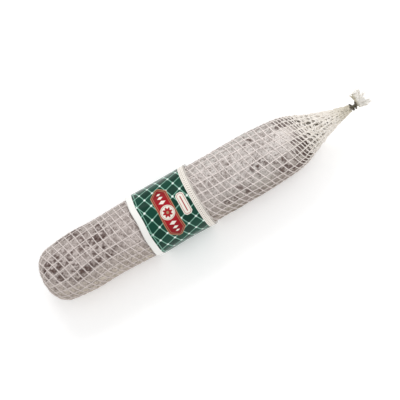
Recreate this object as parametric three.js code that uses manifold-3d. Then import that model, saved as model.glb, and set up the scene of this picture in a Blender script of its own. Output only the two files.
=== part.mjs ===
// A dry-cured Milano-type salami in its string net, lying on its side.
// Millimetres, +Z up, resting on z = 0 with the middle of its footprint at the origin.
// The sausage's axis runs along X: its blunt end is at -X, and the tied end of the net at +X.
// Angles round the axis start at the top and turn through the front (-Y) to the underside.
import * as THREE from "three";
import Module from "manifold-3d";

const { clamp, degToRad, lerp, smoothstep } = THREE.MathUtils;
const FULL_TURN = 2 * Math.PI;

// The sausage
const LEFT_END = -177; // outermost point of the casing's blunt end
const DOME_DEPTH = 20;
const DOME_RADIUS = 26.9;
const DOME_FULLNESS = 2.6; // 2 would be an ellipse, and more is blunter
const DIMPLE_RADIUS = 11; // pocket in the blunt end, where the net is knotted
const DIMPLE_DEPTH = 5.2;
const BODY_OUTLINE = [ // place along X, casing radius in the grooves under the strings
  [-151, 27.7],
  [-132, 29.1],
  [-108, 28.4],
  [-75, 29],
  [-38, 29.1],
  [0, 28.8],
  [48, 28.7],
  [77, 27.1],
  [90, 25.8],
  [100, 23.3],
];
const SHOULDER = 100; // from here on the casing leaves the net
const CASING_TIP = [ // the casing's far end inside the net: round, then the tied tail
  [105, 19.9],
  [110, 16.6],
  [114, 12.4],
  [116.8, 8.2],
  [118.6, 5.6],
  [124, 4.8],
  [130, 4.9],
  [134, 4.4],
  [135.8, 2.5],
];
const CASING_TIP_END = 136.4;
const PILLOW_SHARE = 0.12; // swelling between the strings, as a share of the mesh's size
const UNEVENNESS = 0.2;

// The net
const WARPS = 20; // strings that run along the sausage
const WEFT_STARTS = 8; // strings that wind round it side by side
const WEFT_SPACING = 6.65;
const WEFT_ZONES = [ // from and to along X, and which windings are made there
  [-180, -152, 1],
  [-152, -69, 2],
  [-69, -5, 4], // under the band
  [-5, 89, 2],
  [89, 106, 1],
  [106, 120, 2],
  [120, 160, 4], // where the net is drawn together
];
const STRING_WIDTH = 1.5;
const STRING_SHARE = 0.55; // widest string, as a share of the gap between warps
const STRING_RISE = 0.63; // height of a string's ridge, as a share of its width
const CLEARANCE = 0.35; // between the casing and the strings
const LEAST_STEP = 3.2; // a winding closer than this to an end ring is left out
const TWIST = degToRad(24); // turn of the warps at the blunt end
const TWIST_START = -108;
const TWIST_POWER = 1.5;
const SKEW_LEFT = [0.06, 0.12]; // radians by which the net is drawn to the front, left of the band
const SKEW_WAVES = [0.03, 0.02];
const KNOT_RADIUS = 5;
const KNOT_RISE = 4;
const KNOT_SIDES = 16;
const KNOT_STEPS = 3;
const NET_START = 3.4; // length from the pole to the ring where the net goes into its knot

// The gathered end of the net
const CONE_START = [105.5, 20.8];
const CONE_END = [158, 2];
const CONE_SAG = 1.8;
const GATHER_PLACES = [149.4, 150.6, 153.8, 157]; // the strings lie shut from the second on
const NECK_PLACES = [158.2, 161.8, 165.6];
const NECK_RADIUS = 1.7;
const NECK_FLUTE = 0.15;
const TUFT_SIDES = 2 * WARPS;
const TUFT_RINGS = 5;
const TUFT_LOBES = 5;
const TUFT_LEAN = degToRad(-65); // the long side points up and to the back
const TUFT_ACROSS = [8.3, 3.9]; // reach across the axis: mean, and extra on the long side
const TUFT_AHEAD = [7.8, 1, 4]; // reach along the axis: at the sides, less by lean and its square
const TUFT_RUFFLE = [0.9, 3.4]; // across and along
const TUFT_RUFFLE_TURN = -0.6;
const TUFT_FLARE = 1.2;
const TUFT_WALL = 1;
const CUP_RINGS = 3;

// The printed band
const BAND_LEFT = -68.6;
const BAND_RIGHT = -4.6;
const BAND_RADIUS = 32.1;
const BAND_WALL = 0.8;
const BAND_SIDES = 40;
const BAND_ROWS = 3;
const BAND_WAVE = 0.6;

// The wire clips
const CLIP_PLACES = [159.8, 163.8];
const CLIP_TILTS = [-18, 16]; // they lean apart on the side of their legs
const CLIP_WIRE = 1.8;
const CLIP_GAP = 0.4;
const CLIP_OPENING = degToRad(36);
const CLIP_TURN = degToRad(-30);
const CLIP_LEG = 1.2;
const CLIP_BENDS = 12;
const CLIP_STEPS = 18;
const CLIP_SIDES = 6;

// How it lies: the underside is pressed flat over three warps
const FLAT_HALF_ANGLE = FULL_TURN / WARPS;
const RIDGE = CLEARANCE + STRING_RISE * STRING_WIDTH;
const LYING_RADIUS = 28.5 + RIDGE;
const AXIS_HEIGHT = LYING_RADIUS * Math.cos(FLAT_HALF_ANGLE);
const BAND_LIFT = BAND_WALL + 0.3; // the band's wall lies under the net
const LIFT_RUN = 13;
const LIFT_MARGIN = 3;
const PILLOW_LIFT = 0.45; // the casing stays this far above the strings' underside

const wasm = await Module();
wasm.setup();

// A closed surface, gathered from points and triangles.
class Surface {
  constructor() {
    this.points = [];
    this.triangles = [];
  }

  add({ x, y, z }) {
    this.points.push(x, y, z);
    return this.points.length / 3 - 1;
  }

  addAll(points) {
    return points.map((point) => this.add(point));
  }

  polygon(corners) {
    for (let i = 1; i + 1 < corners.length; i++) {
      this.triangles.push(corners[0], corners[i], corners[i + 1]);
    }
  }

  fan(corners, apex) {
    corners.forEach((corner, i) => {
      this.triangles.push(corner, corners[(i + 1) % corners.length], apex);
    });
  }

  // Joins a closed ring to the next one, of as many points.
  strip(ring, next) {
    ring.forEach((corner, i) => {
      const j = (i + 1) % ring.length;
      this.polygon([corner, ring[j], next[j], next[i]]);
    });
  }

  // Joins rings in their order, each given as its points, and closes both ends on an apex.
  tube(firstApex, rings, lastApex) {
    const added = rings.map((ring) => this.addAll(ring));
    this.fan([...added[0]].reverse(), this.add(firstApex));
    added.slice(1).forEach((ring, i) => this.strip(added[i], ring));
    this.fan(added[added.length - 1], this.add(lastApex));
    return this;
  }

  solid() {
    return new wasm.Manifold(
      new wasm.Mesh({
        numProp: 3,
        vertProperties: new Float32Array(this.points),
        triVerts: new Uint32Array(this.triangles),
      }),
    );
  }
}

function geometryOf(solid) {
  const mesh = solid.getMesh();
  const geometry = new THREE.BufferGeometry();
  geometry.setAttribute("position", new THREE.BufferAttribute(mesh.vertProperties, 3));
  geometry.setIndex(new THREE.BufferAttribute(mesh.triVerts, 1));
  geometry.computeVertexNormals();
  return geometry;
}

// The outline that the strings lie on: dimple, blunt end, body and the net's cone.
function outlineCurve() {
  const points = [];
  const at = (x, radius) => points.push(new THREE.Vector2(x, radius));
  const rimAngle = Math.asin((DIMPLE_RADIUS / DOME_RADIUS) ** (DOME_FULLNESS / 2));
  const rim = LEFT_END + DOME_DEPTH * (1 - Math.cos(rimAngle));
  for (const share of [0, 0.27, 0.5, 0.77]) {
    const fall = (1 + Math.cos(Math.PI * share)) / 2;
    at(rim + DIMPLE_DEPTH * fall, DIMPLE_RADIUS * share);
  }
  const steps = 6;
  for (let i = 0; i <= steps; i++) {
    const angle = lerp(rimAngle, Math.PI / 2, i / steps);
    const radius = DOME_RADIUS * Math.sin(angle) ** (2 / DOME_FULLNESS);
    at(LEFT_END + DOME_DEPTH * (1 - Math.cos(angle)), radius);
  }
  BODY_OUTLINE.forEach(([x, radius]) => at(x, radius));
  for (const share of [0, 0.25, 0.5, 0.75, 1]) {
    const sag = CONE_SAG * Math.sin(Math.PI * share);
    at(lerp(CONE_START[0], CONE_END[0], share), lerp(CONE_START[1], CONE_END[1], share) - sag);
  }
  const curve = new THREE.SplineCurve(points);
  curve.arcLengthDivisions = 2000;
  return curve;
}

const outline = outlineCurve();
const outlineLength = outline.getLength();

// The outline at a length from the pole, moved outwards by a height: x is along X, y the radius.
function outlinePoint(along, height) {
  const share = clamp(along / outlineLength, 0, 1);
  const point = outline.getPointAt(share);
  const tangent = outline.getTangentAt(share);
  return new THREE.Vector2(point.x - tangent.y * height, point.y + tangent.x * height);
}

// The length from the pole at which the outline passes a place along X, past the blunt end.
function alongAt(x) {
  let low = DOME_RADIUS;
  let high = outlineLength;
  while (high - low > 1e-6) {
    const middle = (low + high) / 2;
    if (outlinePoint(middle, 0).x < x) low = middle;
    else high = middle;
  }
  return low;
}

// How far the underside stands up beneath the band.
function liftAt(x) {
  const left = BAND_LEFT - LIFT_MARGIN;
  const right = BAND_RIGHT + LIFT_MARGIN;
  const rise = smoothstep(x, left - LIFT_RUN, left);
  const fall = smoothstep(x, right, right + LIFT_RUN);
  return BAND_LIFT * rise * (1 - fall);
}

function unevennessAt(x, angle) {
  const middle = smoothstep(x, -165, -140) * (1 - smoothstep(x, 60, 95));
  const wave = Math.sin(x / 21 + 2 * angle) + Math.sin(x / 34 - 3 * angle + 1);
  return UNEVENNESS * middle * wave;
}

// The net's angle round the axis: twisted at the blunt end, and drawn a little askew.
function turnedAngle(x, angle) {
  const share = clamp((TWIST_START - x) / (TWIST_START - LEFT_END), 0, 1);
  const left = smoothstep(x, -170, -145) * (1 - smoothstep(x, -75, -20));
  const skew = left * (SKEW_LEFT[0] + SKEW_LEFT[1] * Math.sin(angle));
  const first = SKEW_WAVES[0] * Math.sin(2 * angle + x / 31);
  const second = SKEW_WAVES[1] * Math.sin(3 * angle - x / 17 + 2);
  const waves = smoothstep(x, -170, -150) * (first + second);
  return angle + TWIST * share ** TWIST_POWER + skew + waves;
}

// A point round the sausage's axis, no lower than a floor.
function aroundAxis(x, radius, angle, floor = 0) {
  const z = AXIS_HEIGHT + radius * Math.cos(angle);
  return new THREE.Vector3(x, -radius * Math.sin(angle), Math.max(z, floor));
}

function ringAround(sides, place) {
  return Array.from({ length: sides }, (_, i) => place((FULL_TURN * i) / sides, i));
}

// A point on the sausage, at a height above the grooves that the strings lie in.
function surfacePoint(along, angle, height) {
  const { x, y } = outlinePoint(along, height);
  const floor = liftAt(x) + RIDGE - height;
  return aroundAxis(x, y + unevennessAt(x, angle), turnedAngle(x, angle), floor);
}

function stringWidth(along) {
  const gap = (FULL_TURN * outlinePoint(along, 0).y) / WARPS;
  return Math.min(STRING_WIDTH, STRING_SHARE * gap);
}

function ridgeHeight(along) {
  return CLEARANCE + STRING_RISE * stringWidth(along);
}

function isWeftMade(weft, along) {
  const { x } = outlinePoint(along, 0);
  const [, , every] = WEFT_ZONES.find(([from, to]) => x > from && x <= to);
  return weft % every === 0;
}

// The meshes of the net between two rings, as crossings and the polygons between them. Each
// warp is a rail of crossings, and a mesh lies between two rails and two windings that both
// rails have. The windings climb, so they are counted on by their starts after a full turn.
function weave(start, end) {
  const crossings = [];
  const crossingAt = (along, warp) => {
    crossings.push({ along, angle: (FULL_TURN * warp) / WARPS });
    return crossings.length - 1;
  };
  const rails = [];
  for (let warp = 0; warp < WARPS; warp++) {
    const rail = [{ weft: -Infinity, crossing: crossingAt(start, warp) }];
    const climb = (WEFT_STARTS * warp) / WARPS;
    let weft = Math.ceil((start + LEAST_STEP) / WEFT_SPACING - climb);
    while ((weft + climb) * WEFT_SPACING < end - LEAST_STEP) {
      const along = (weft + climb) * WEFT_SPACING;
      if (isWeftMade(weft, along)) rail.push({ weft, crossing: crossingAt(along, warp) });
      weft += 1;
    }
    rail.push({ weft: Infinity, crossing: crossingAt(end, warp) });
    rails.push(rail);
  }
  const meshes = [];
  rails.forEach((rail, warp) => {
    const next = rails[(warp + 1) % WARPS];
    const count = warp + 1 === WARPS ? WEFT_STARTS : 0;
    let here = 0;
    let there = 0;
    rail.forEach(({ weft }, i) => {
      const j = next.findIndex((other) => other.weft === weft + count);
      if (i === 0 || j < 0) return;
      const up = next.slice(there, j + 1).map(({ crossing }) => crossing);
      const down = rail.slice(here, i + 1).map(({ crossing }) => crossing);
      meshes.push([...up, ...down.reverse()]);
      here = i;
      there = j;
    });
  });
  const firstRing = rails.map((rail) => rail[0].crossing);
  const lastRing = rails.map((rail) => rail[rail.length - 1].crossing);
  return { crossings, meshes, firstRing, lastRing };
}

// The direction from one crossing to another, on the unrolled surface.
function heading(from, to, radius) {
  const turn = to.angle - from.angle;
  const shortest = turn - FULL_TURN * Math.round(turn / FULL_TURN);
  return new THREE.Vector2(shortest * radius, to.along - from.along).normalize();
}

// The corner of a mesh's opening, half a string's width inside the crossing.
function openingCorner(before, here, after) {
  const radius = outlinePoint(here.along, 0).y;
  const sides = [heading(before, here, radius), heading(here, after, radius)];
  const [first, second] = sides.map(({ x, y }) => new THREE.Vector2(-y, x));
  const reach = stringWidth(here.along) / 2 / (1 + first.dot(second));
  const move = first.add(second).multiplyScalar(reach);
  return surfacePoint(here.along + move.y, here.angle + move.x / radius, CLEARANCE);
}

// The string net between two rings. Each string rises from the openings beside it to a ridge,
// and has a flat underside.
function stringNet(start, end) {
  const { crossings, meshes, firstRing, lastRing } = weave(start, end);
  const surface = new Surface();
  const ridges = crossings.map(({ along, angle }) =>
    surface.add(surfacePoint(along, angle, ridgeHeight(along))),
  );
  const pair = (crossing, other) => crossing * crossings.length + other;
  const arriving = new Map(); // crossing and the one before it, to the opening's corner
  const leaving = new Map(); // crossing and the one after it, to the opening's corner
  const openings = [...meshes, [...firstRing].reverse(), lastRing];
  openings.forEach((opening) => {
    const size = opening.length;
    const corners = opening.map((crossing, i) => {
      const before = opening[(i + size - 1) % size];
      const after = opening[(i + 1) % size];
      const place = openingCorner(crossings[before], crossings[crossing], crossings[after]);
      const corner = surface.add(place);
      arriving.set(pair(crossing, before), { corner, after });
      leaving.set(pair(crossing, after), corner);
      return corner;
    });
    surface.strip(opening.map((crossing) => ridges[crossing]), corners);
  });
  openings.forEach((opening) => {
    opening.forEach((crossing, i) => {
      const next = opening[(i + 1) % opening.length];
      if (crossing > next) return;
      surface.polygon([
        leaving.get(pair(crossing, next)),
        arriving.get(pair(next, crossing)).corner,
        leaving.get(pair(next, crossing)),
        arriving.get(pair(crossing, next)).corner,
      ]);
    });
  });
  const starts = new Map();
  openings.forEach((opening) => {
    opening.forEach((crossing, i) => {
      starts.set(crossing, opening[(i + opening.length - 1) % opening.length]);
    });
  });
  starts.forEach((first, crossing) => {
    const patch = [];
    let before = first;
    do {
      const { corner, after } = arriving.get(pair(crossing, before));
      patch.push(corner);
      before = after;
    } while (before !== first);
    surface.polygon(patch);
  });
  return surface;
}

// The sausage in its casing, swollen out between the strings.
function salami() {
  const { crossings, meshes, firstRing, lastRing } = weave(NET_START, alongAt(SHOULDER));
  const surface = new Surface();
  const places = crossings.map(({ along, angle }) => surfacePoint(along, angle, 0));
  const grooves = surface.addAll(places);
  meshes.forEach((mesh) => {
    const corners = mesh.map((crossing) => places[crossing]);
    const middle = new THREE.Vector3();
    corners.forEach((corner) => middle.addScaledVector(corner, 1 / corners.length));
    const facing = new THREE.Vector3();
    corners.forEach((corner, i) => {
      const next = corners[(i + 1) % corners.length];
      facing.add(corner.clone().sub(middle).cross(next.clone().sub(middle)));
    });
    const size = Math.sqrt(facing.length() / 2);
    const isLast = mesh.some((crossing) => lastRing.includes(crossing));
    middle.addScaledVector(facing.normalize(), isLast ? 0 : PILLOW_SHARE * size);
    middle.z = Math.max(middle.z, liftAt(middle.x) + PILLOW_LIFT);
    surface.fan(mesh.map((crossing) => grooves[crossing]), surface.add(middle));
  });
  const pole = surface.add(surfacePoint(0, 0, 0));
  surface.fan([...firstRing].reverse().map((crossing) => grooves[crossing]), pole);
  let ring = lastRing.map((crossing) => grooves[crossing]);
  CASING_TIP.forEach(([x, radius]) => {
    const next = surface.addAll(ringAround(WARPS, (angle) => aroundAxis(x, radius, angle)));
    surface.strip(ring, next);
    ring = next;
  });
  surface.fan(ring, surface.add(aroundAxis(CASING_TIP_END, 0, 0)));
  return surface.solid();
}

// The flat knot that ties the strings in the dimple.
function knot() {
  const under = CLEARANCE + 0.15;
  const profile = [];
  const edge = outlinePoint(KNOT_RADIUS, under);
  for (let i = 1; i <= KNOT_STEPS; i++) {
    const angle = (Math.PI / 2) * (i / KNOT_STEPS);
    profile.push([edge.x - KNOT_RISE * Math.cos(angle), edge.y * Math.sin(angle)]);
  }
  for (const share of [0.75, 0.4]) {
    const { x, y } = outlinePoint(KNOT_RADIUS * share, under);
    profile.push([x, y]);
  }
  const rings = profile.map(([x, radius]) =>
    ringAround(KNOT_SIDES, (angle) => aroundAxis(x, radius, angle)),
  );
  const top = aroundAxis(edge.x - KNOT_RISE, 0, 0);
  const bottom = aroundAxis(outlinePoint(0, under).x, 0, 0);
  return new Surface().tube(top, rings, bottom).solid();
}

// How far the tuft reaches ahead of the neck and across the axis, on the way out to its rim.
function tuftReach(angle, share) {
  const lean = Math.cos(angle - TUFT_LEAN);
  const [mean, extra] = TUFT_ACROSS;
  const [sides, less, lessSquare] = TUFT_AHEAD;
  const across = mean + extra * lean + TUFT_RUFFLE[0] * Math.sin(TUFT_LOBES * angle);
  const ruffle = TUFT_RUFFLE[1] * Math.sin(TUFT_LOBES * angle + TUFT_RUFFLE_TURN);
  const ahead = sides - less * lean - lessSquare * lean ** 2 + ruffle;
  return new THREE.Vector2(
    ahead * share,
    NECK_RADIUS + (across - NECK_RADIUS) * share ** TUFT_FLARE,
  );
}

// The strings gathered shut, the neck through the clips, and the ruffled tuft beyond them. The
// tuft is a cup: its rings go out to the rim and come back in on the inside.
function gatheredEnd() {
  const neckEnd = NECK_PLACES[NECK_PLACES.length - 1];
  const gathered = GATHER_PLACES.map((x) => {
    const along = alongAt(x);
    const { y } = outlinePoint(along, 0);
    const heights = [ridgeHeight(along), CLEARANCE];
    return ringAround(TUFT_SIDES, (angle, i) => aroundAxis(x, y + heights[i % 2], angle));
  });
  const neck = NECK_PLACES.map((x) =>
    ringAround(TUFT_SIDES, (angle, i) => aroundAxis(x, NECK_RADIUS - NECK_FLUTE * (i % 2), angle)),
  );
  const outside = [];
  for (let i = 1; i <= TUFT_RINGS; i++) {
    outside.push(
      ringAround(TUFT_SIDES, (angle) => {
        const { x, y } = tuftReach(angle, i / TUFT_RINGS);
        return aroundAxis(neckEnd + x, y, angle);
      }),
    );
  }
  const inside = [];
  for (let i = TUFT_RINGS; i > TUFT_RINGS - CUP_RINGS; i--) {
    inside.push(
      ringAround(TUFT_SIDES, (angle) => {
        const share = i / TUFT_RINGS;
        const here = tuftReach(angle, share);
        const way = tuftReach(angle, share + 0.01).sub(here).normalize();
        const x = neckEnd + here.x + TUFT_WALL * way.y;
        return aroundAxis(x, here.y - TUFT_WALL * way.x, angle);
      }),
    );
  }
  const bottom = tuftReach(0, 1 / TUFT_RINGS).x + TUFT_WALL;
  return new Surface()
    .tube(
      aroundAxis(GATHER_PLACES[0], 0, 0),
      [...gathered, ...neck, ...outside, ...inside],
      aroundAxis(neckEnd + bottom, 0, 0),
    )
    .solid();
}

function net() {
  return stringNet(NET_START, alongAt(GATHER_PLACES[1])).solid().add(knot()).add(gatheredEnd());
}

// The band: a sleeve with slightly wavy edges, flat where the sausage lies on it.
function band() {
  const surface = new Surface();
  const sections = ringAround(BAND_SIDES, (angle) => {
    const wave = BAND_WAVE * Math.sin(3 * angle + 1) + (BAND_WAVE / 2) * Math.sin(7 * angle);
    const row = (radius, floor) => {
      const points = [];
      for (let i = 0; i <= BAND_ROWS; i++) {
        const share = i / BAND_ROWS;
        const x = lerp(BAND_LEFT, BAND_RIGHT, share) + wave * (1 - share);
        points.push(aroundAxis(x, radius, angle, floor));
      }
      return points;
    };
    const outer = row(BAND_RADIUS, 0).reverse();
    return surface.addAll([...outer, ...row(BAND_RADIUS - BAND_WALL, BAND_WALL)]);
  });
  sections.forEach((section, i) => surface.strip(section, sections[(i + 1) % BAND_SIDES]));
  return surface.solid();
}

// A wire clip: bent nearly shut round the neck, with its two legs turned out.
function clipGeometry() {
  const radius = NECK_RADIUS + CLIP_GAP + CLIP_WIRE / 2;
  const points = [];
  for (let i = 0; i <= CLIP_BENDS; i++) {
    const angle = lerp(CLIP_OPENING, FULL_TURN - CLIP_OPENING, i / CLIP_BENDS);
    points.push(new THREE.Vector3(0, -radius * Math.sin(angle), radius * Math.cos(angle)));
  }
  const leg = (point) => point.clone().add(new THREE.Vector3(0, 0, CLIP_LEG));
  const path = [leg(points[0]), ...points, leg(points[points.length - 1])];
  const section = new THREE.Shape(
    Array.from({ length: CLIP_SIDES }, (_, i) => {
      const angle = (FULL_TURN * i) / CLIP_SIDES;
      return new THREE.Vector2(Math.cos(angle), Math.sin(angle)).multiplyScalar(CLIP_WIRE / 2);
    }),
  );
  return new THREE.ExtrudeGeometry(section, {
    steps: CLIP_STEPS,
    bevelEnabled: false,
    extrudePath: new THREE.CatmullRomCurve3(path),
  });
}

const finishes = {
  casing: new THREE.MeshStandardMaterial({ color: "#b9aaa4", roughness: 0.95, metalness: 0 }),
  string: new THREE.MeshStandardMaterial({ color: "#e6dbd2", roughness: 0.9, metalness: 0 }),
  print: new THREE.MeshStandardMaterial({ color: "#14452f", roughness: 0.25, metalness: 0 }),
  wire: new THREE.MeshStandardMaterial({ color: "#4b453a", roughness: 0.45, metalness: 1 }),
};

const group = new THREE.Group();

function addPiece(name, geometry, finish) {
  const mesh = new THREE.Mesh(geometry, finish);
  mesh.name = name;
  group.add(mesh);
  return mesh;
}

addPiece("salami", geometryOf(salami()), finishes.casing);
addPiece("net", geometryOf(net()), finishes.string);
addPiece("label_band", geometryOf(band()), finishes.print);
CLIP_PLACES.forEach((x, i) => {
  const clip = addPiece(`clip_${i + 1}`, clipGeometry(), finishes.wire);
  clip.position.set(x, 0, AXIS_HEIGHT);
  clip.rotation.set(CLIP_TURN * (i + 1), degToRad(CLIP_TILTS[i]), 0);
});

export default group;
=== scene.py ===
# A whole dry-cured salami in its string net, lying on a white table and seen from above.
# Metres. The sausage's axis runs along X, its blunt end is at -X, and its underside is on z = 0.
import math

import bpy
import numpy as np
from mathutils import Matrix, Vector, noise


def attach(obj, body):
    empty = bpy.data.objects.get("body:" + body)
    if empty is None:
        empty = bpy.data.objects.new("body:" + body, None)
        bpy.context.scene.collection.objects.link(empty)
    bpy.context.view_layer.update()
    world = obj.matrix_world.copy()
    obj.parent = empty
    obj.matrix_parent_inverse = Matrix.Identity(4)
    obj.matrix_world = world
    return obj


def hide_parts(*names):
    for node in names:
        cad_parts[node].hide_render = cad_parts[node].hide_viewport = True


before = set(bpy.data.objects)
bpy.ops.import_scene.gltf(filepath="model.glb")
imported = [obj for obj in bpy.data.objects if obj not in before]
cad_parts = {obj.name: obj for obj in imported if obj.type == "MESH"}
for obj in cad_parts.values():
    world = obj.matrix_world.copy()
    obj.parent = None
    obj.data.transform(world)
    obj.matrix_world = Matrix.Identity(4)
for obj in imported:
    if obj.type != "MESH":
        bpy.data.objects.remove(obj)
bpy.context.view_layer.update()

# The sausage: pork stuffed tight into a fibrous casing of 60 mm, then dried for weeks.
# A pale mould powders it all over, thin or rubbed off in places, where brown meat shows. It
# swells out between the strings, and its far end runs out in a pleated, yellow tail.
MM = 0.001
TURN = 2 * math.pi

LEFT_END = -177
DOME_DEPTH = 20
DOME_RADIUS = 26.9
DOME_FULLNESS = 2.6
DIMPLE_RADIUS = 11
DIMPLE_DEPTH = 5.2
BODY_OUTLINE = [
    (-151, 27.7), (-132, 29.1), (-108, 28.4), (-75, 29), (-38, 29.1),
    (0, 28.8), (48, 28.7), (77, 27.1), (90, 25.8), (100, 23.3),
]
CASING_TIP = [
    (105, 19.9), (110, 16.6), (114, 12.4), (116.8, 8.2), (118.6, 5.6),
    (124, 4.8), (130, 4.9), (134, 4.4), (135.8, 2.5), (136.4, 0),
]
CONE_START = (105.5, 20.8)
CONE_END = (158, 2)
CONE_SAG = 1.8

WARPS = 20  # strings that run along the sausage
WEFT_STARTS = 8  # strings that wind round it side by side
WEFT_SPACING = 6.65
CLIMB = WEFT_STARTS / WARPS  # windings that a string climbs from one warp to the next
RIDGE = 1.295  # height of the net's outside over the casing
AXIS_HEIGHT = (28.5 + RIDGE) * math.cos(TURN / WARPS)
TWIST = math.radians(24)
TWIST_START = -108
SKEW_LEFT = (0.06, 0.12)  # radians by which the net is drawn to the front, left of the band
SKEW_WAVES = (0.03, 0.02)
BAND_LEFT = -68.6
BAND_RIGHT = -4.6
BAND_LIFT = 1.1


def smooth(value, low, high):
    share = np.clip((value - low) / (high - low), 0, 1)
    return share * share * (3 - 2 * share)


def through(points, steps=60):
    """A smooth outline through points of place along X and radius: length, points, normals."""
    corners = np.array([points[0], *points, points[-1]], float)
    t = np.linspace(0, 1, steps, endpoint=False)[:, None]
    spans = []
    for before, here, there, after in zip(corners, corners[1:], corners[2:], corners[3:]):
        leave, arrive = (there - before) / 2, (after - here) / 2
        square = 3 * (there - here) - 2 * leave - arrive
        cube = 2 * (here - there) + leave + arrive
        spans.append(here + leave * t + square * t**2 + cube * t**3)
    curve = np.vstack([*spans, corners[-1:]])
    step = np.linalg.norm(np.diff(curve, axis=0), axis=1)
    length = np.concatenate([[0], np.cumsum(step)])
    tangent = np.gradient(curve, axis=0)
    tangent /= np.linalg.norm(tangent, axis=1)[:, None]
    return length, curve, np.stack([-tangent[:, 1], tangent[:, 0]], 1)


def blunt_end():
    """Points of the dimple, in which the net is knotted, and of the dome round it."""
    rim_angle = math.asin((DIMPLE_RADIUS / DOME_RADIUS) ** (DOME_FULLNESS / 2))
    rim = LEFT_END + DOME_DEPTH * (1 - math.cos(rim_angle))
    for share in (0, 0.27, 0.5, 0.77):
        yield rim + DIMPLE_DEPTH * (1 + math.cos(math.pi * share)) / 2, DIMPLE_RADIUS * share
    for angle in np.linspace(rim_angle, math.pi / 2, 7):
        radius = DOME_RADIUS * math.sin(angle) ** (2 / DOME_FULLNESS)
        yield LEFT_END + DOME_DEPTH * (1 - math.cos(angle)), radius


def net_cone():
    for share in (0, 0.25, 0.5, 0.75, 1):
        x, radius = (a + (b - a) * share for a, b in zip(CONE_START, CONE_END))
        yield x, radius - CONE_SAG * math.sin(math.pi * share)


casing_outline = through([*blunt_end(), *BODY_OUTLINE, *CASING_TIP])
net_outline = through([*blunt_end(), *BODY_OUTLINE, *net_cone()])


def length_at(outline, x):
    """The length along an outline at which it passes a place along X, past the blunt end."""
    length, curve, _ = outline
    body = length > DOME_RADIUS
    return np.interp(x, curve[body, 0], length[body])


def radius_at(outline, along):
    return np.interp(along, outline[0], outline[1][:, 1])


def lift(x):
    """How far the underside stands up where the band's film passes beneath it."""
    left, right, run = BAND_LEFT - 3, BAND_RIGHT + 3, 13
    return BAND_LIFT * smooth(x, left - run, left) * (1 - smooth(x, right, right + run))


def turned(x, angle):
    """The net's angle round the axis, twisted at the blunt end and drawn a little askew."""
    share = np.clip((TWIST_START - x) / (TWIST_START - LEFT_END), 0, 1)
    left = smooth(x, -170, -145) * (1 - smooth(x, -75, -20))
    skew = left * (SKEW_LEFT[0] + SKEW_LEFT[1] * np.sin(angle))
    first = SKEW_WAVES[0] * np.sin(2 * angle + x / 31)
    second = SKEW_WAVES[1] * np.sin(3 * angle - x / 17 + 2)
    return angle + TWIST * share**1.5 + skew + smooth(x, -170, -150) * (first + second)


def place(outline, along, angle, height, half_thick=0):
    """Points at a height over the grooves of the strings, flattened where the sausage lies."""
    length, curve, normal = outline
    pulled = along + smooth(along, 20, 45) * (
        0.6 * np.sin(3 * angle + along / 23) + 0.35 * np.sin(5 * angle - along / 11)
    )
    x, radius, out_x, out_r = (np.interp(pulled, length, row) for row in (*curve.T, *normal.T))
    x = x + out_x * height
    middle = smooth(x, -165, -140) * (1 - smooth(x, 60, 95))
    uneven = 0.2 * middle * (np.sin(x / 21 + 2 * angle) + np.sin(x / 34 - 3 * angle + 1))
    radius = radius + out_r * height + uneven
    around = turned(x, angle)
    z = AXIS_HEIGHT + radius * np.cos(around)
    floor = lift(x) + np.maximum(RIDGE - height, half_thick)
    return np.stack([x, -radius * np.sin(around), np.maximum(z, floor)], -1)


def noise_at(points, grain, seed):
    """Smooth noise from -1 to 1 at each point, in lumps of the given size in mm."""
    shift = Vector((17.3 * seed, 5.1 * seed, 9.7 * seed))
    return np.array([noise.noise(Vector(point) / grain + shift) for point in points.tolist()])


CASING_COLUMNS = 15 * WARPS
CASING_STEP = 1.1
GROOVE_HEIGHT = 0.1
PILLOW = 0.8
PLEATS = 11
LUMP_GRAINS = (19, 4.6, 2.1)
CAKE_GRAIN = 26
CAKE_HEIGHT = 0.6
SPOT_GRAINS = (3.6, 1.8)
CLOUD_GRAIN = 24
LEAVES_NET = (98, 106)  # from and to along X, as are the five below
FLATTER = (72, 92)
CAKED_FROM = (-40, 10)
CAKED_TO = (52, 76)
BARE_TO = (108, 112)
LESS_THIN = (78, 98)
WORN_ROWS = {  # row of meshes, from the top to the front: from and to along X, and bareness
    -5: [(-150, -120, 0.8)],
    -4: [(-150, -118, 0.9), (22, 38, 0.6), (60, 80, 0.6), (86, 107, 1.3)],
    -3: [(-141, -116, 0.7), (88, 109, 1.4)],
    -2: [(-170, -158, 1.1), (-157, -140, 0.75), (-126, -116, 0.7), (-107, -97, 0.85),
         (24, 30, 0.6), (52, 66, 0.6), (79, 84, 0.6), (89, 110, 1.4)],
    -1: [(-171, -136, 0.9), (-128, -110, 0.95), (-110, -93, 1.2)],
    0: [(-163, -152, 0.95), (-145, -134, 0.7), (-118, -103, 0.75), (7, 11, 0.7), (99, 107, 0.45)],
    1: [(-171, -166, 0.55), (-153, -134, 0.8), (-133, -111, 1.2), (-109, -93, 0.8),
        (49, 68, 0.75), (96, 107, 0.9)],
    2: [(17, 35, 0.3), (41, 46, 0.6), (54, 58, 0.75), (67, 84, 0.7), (92, 109, 1.3)],
    3: [(12, 18, 1), (22, 27, 0.8), (35, 41, 1), (73, 86, 1), (90, 108, 1.1)],
    4: [(42, 50, 0.5), (77, 83, 0.7), (84, 107, 1.1)],
}
HIDDEN_ROWS = range(6, 16)
HIDDEN_STRETCHES = 3  # worn ones in each row that faces away


def casing_rows():
    end = casing_outline[0][-1]
    return np.linspace(0, end, round(end / CASING_STEP) + 1)


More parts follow.
